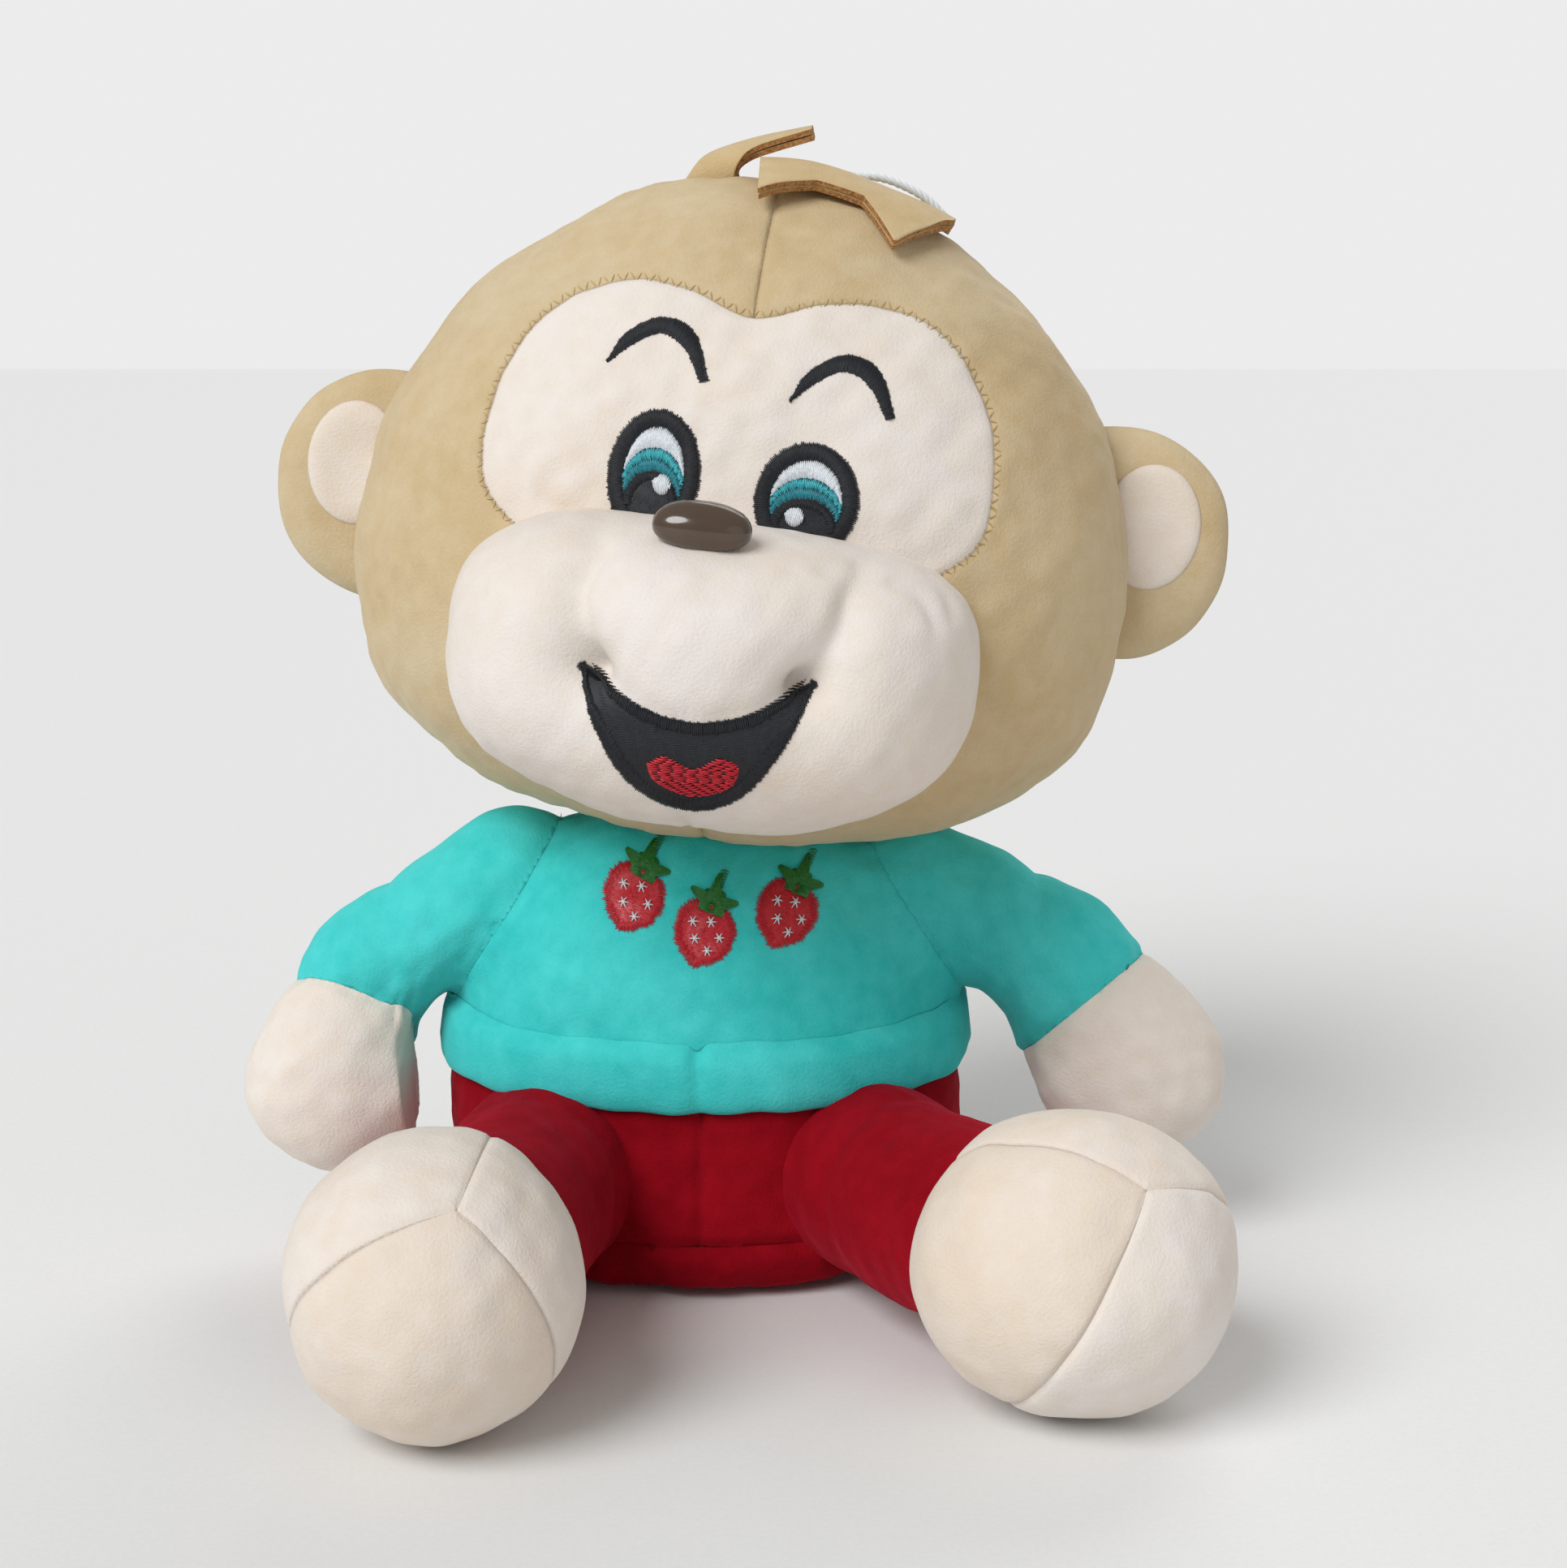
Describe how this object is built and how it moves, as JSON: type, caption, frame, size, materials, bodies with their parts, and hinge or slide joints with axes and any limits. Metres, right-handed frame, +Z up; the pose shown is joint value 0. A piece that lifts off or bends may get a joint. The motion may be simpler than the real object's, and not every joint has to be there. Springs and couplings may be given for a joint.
{
  "type": "seated plush monkey",
  "caption": "Seated stuffed plush monkey with a large nodding head, embroidered face, plastic nose, turquoise shirt, red trousers and flexing limbs.",
  "frame": {"origin": "on the floor, on the flat seat panel, straight below the middle of the torso", "axes": "+Z up; the face looks along -Y; +X is the toy's own left"},
  "size_m": [0.2354, 0.2095, 0.2648],
  "materials": {
    "tan_velour": "short-pile velour, sandy tan",
    "hair_velour": "two layers of tan velour back to back with raw brown cut edges",
    "cream_velour": "short-pile velour, cream",
    "turquoise_velour": "short-pile velour, turquoise",
    "red_velour": "short-pile velour, deep red",
    "black_thread": "satin-stitch embroidery, glossy thread",
    "white_thread": "embroidery thread",
    "teal_thread": "embroidery thread",
    "red_thread": "embroidery thread",
    "green_thread": "embroidery thread",
    "brown_plastic": "moulded, glossy",
    "washer_plastic": "moulded, matt",
    "white_cord": "twisted cord",
    "filling": "polyester fibre filling"
  },
  "bodies": {
    "torso": {"torso_stuffing": "filling", "shirt_front": "turquoise_velour", "shirt_back": "turquoise_velour", "hem_band": "turquoise_velour", "trousers_right": "red_velour", "trousers_left": "red_velour", "seat_panel": "red_velour", "strawberry_fruit_1": "red_thread", "strawberry_leaf_1": "green_thread", "strawberry_fruit_2": "red_thread", "strawberry_leaf_2": "green_thread", "strawberry_fruit_3": "red_thread", "strawberry_leaf_3": "green_thread"},
    "neck": {"neck_stuffing": "filling"},
    "head": {"head_stuffing": "filling", "crown_right": "tan_velour", "crown_left": "tan_velour", "head_back_right": "tan_velour", "head_back_left": "tan_velour", "face_panel": "cream_velour", "muzzle_cover": "cream_velour", "muzzle_stuffing": "filling", "nose": "brown_plastic", "nose_washer": "washer_plastic", "mouth": "black_thread", "tongue": "red_thread", "brow_right": "black_thread", "brow_left": "black_thread", "eye_outline_right": "black_thread", "eye_outline_left": "black_thread", "eye_white_right": "white_thread", "eye_white_left": "white_thread", "eye_iris_right": "teal_thread", "eye_iris_left": "teal_thread"},
    "arm_right": {"sleeve_right": "turquoise_velour", "hand_right": "cream_velour", "arm_stuffing_right": "filling"},
    "arm_left": {"sleeve_left": "turquoise_velour", "hand_left": "cream_velour", "arm_stuffing_left": "filling"},
    "leg_right": {"trouser_leg_right": "red_velour", "foot_outer_right": "cream_velour", "foot_sole_right": "cream_velour", "foot_inner_right": "cream_velour", "leg_stuffing_right": "filling"},
    "leg_left": {"trouser_leg_left": "red_velour", "foot_outer_left": "cream_velour", "foot_sole_left": "cream_velour", "foot_inner_left": "cream_velour", "leg_stuffing_left": "filling"},
    "ear_right": {"ear_front_right": "tan_velour", "ear_back_right": "tan_velour", "ear_patch_right": "cream_velour"},
    "ear_left": {"ear_front_left": "tan_velour", "ear_back_left": "tan_velour", "ear_patch_left": "cream_velour"},
    "fringe": {"hair_fringe": "hair_velour"},
    "tuft": {"hair_tuft": "hair_velour"},
    "loop": {"hang_loop": "white_cord"}
  },
  "joints": [
    {"name": "head_turn", "type": "hinge", "parent": "torso", "child": "neck", "pos_m": [0.0027, 0, 0.103], "axis": [0, 0, 1], "range_deg": [-20, 20], "stiffness_Nm_per_rad": 0.6},
    {"name": "head_nod", "type": "hinge", "parent": "neck", "child": "head", "pos_m": [0.0027, 0, 0.103], "axis": [1, 0, 0], "range_deg": [-8, 5], "stiffness_Nm_per_rad": 2.5},
    {"name": "arm_lift_right", "type": "hinge", "parent": "torso", "child": "arm_right", "pos_m": [-0.045, 0, 0.085], "axis": [0, 1, 0], "range_deg": [0, 45], "stiffness_Nm_per_rad": 0.6},
    {"name": "arm_lift_left", "type": "hinge", "parent": "torso", "child": "arm_left", "pos_m": [0.047, 0, 0.083], "axis": [0, -1, 0], "range_deg": [0, 45], "stiffness_Nm_per_rad": 0.6},
    {"name": "leg_lift_right", "type": "hinge", "parent": "torso", "child": "leg_right", "pos_m": [-0.033, -0.033, 0.0255], "axis": [-1, 0, 0], "range_deg": [-10, 30], "stiffness_Nm_per_rad": 1.2},
    {"name": "leg_lift_left", "type": "hinge", "parent": "torso", "child": "leg_left", "pos_m": [0.038, -0.035, 0.0255], "axis": [-1, 0, 0], "range_deg": [-10, 30], "stiffness_Nm_per_rad": 1.2},
    {"name": "ear_fold_right", "type": "hinge", "parent": "head", "child": "ear_right", "pos_m": [-0.07317, 0.00931, 0.18502], "axis": [0.1112, -0.0078, 0.9938], "range_deg": [-25, 25], "stiffness_Nm_per_rad": 0.06},
    {"name": "ear_fold_left", "type": "hinge", "parent": "head", "child": "ear_left", "pos_m": [0.09536, -0.00247, 0.16607], "axis": [-0.1112, 0.0078, -0.9938], "range_deg": [-25, 25], "stiffness_Nm_per_rad": 0.06},
    {"name": "fringe_lift", "type": "hinge", "parent": "head", "child": "fringe", "pos_m": [0.03501, 0.00075, 0.24631], "axis": [-0.9555, 0.0668, 0.2874], "range_deg": [0, 50], "stiffness_Nm_per_rad": 0.02},
    {"name": "tuft_bend", "type": "hinge", "parent": "head", "child": "tuft", "pos_m": [0.00776, 0.00747, 0.25102], "axis": [0.9913, -0.0693, -0.1115], "range_deg": [-25, 12], "stiffness_Nm_per_rad": 0.02},
    {"name": "loop_lift", "type": "hinge", "parent": "head", "child": "loop", "pos_m": [0.03415, 0.00953, 0.2512], "axis": [-0.0698, -0.9976, 0], "range_deg": [0, 80]}
  ]
}
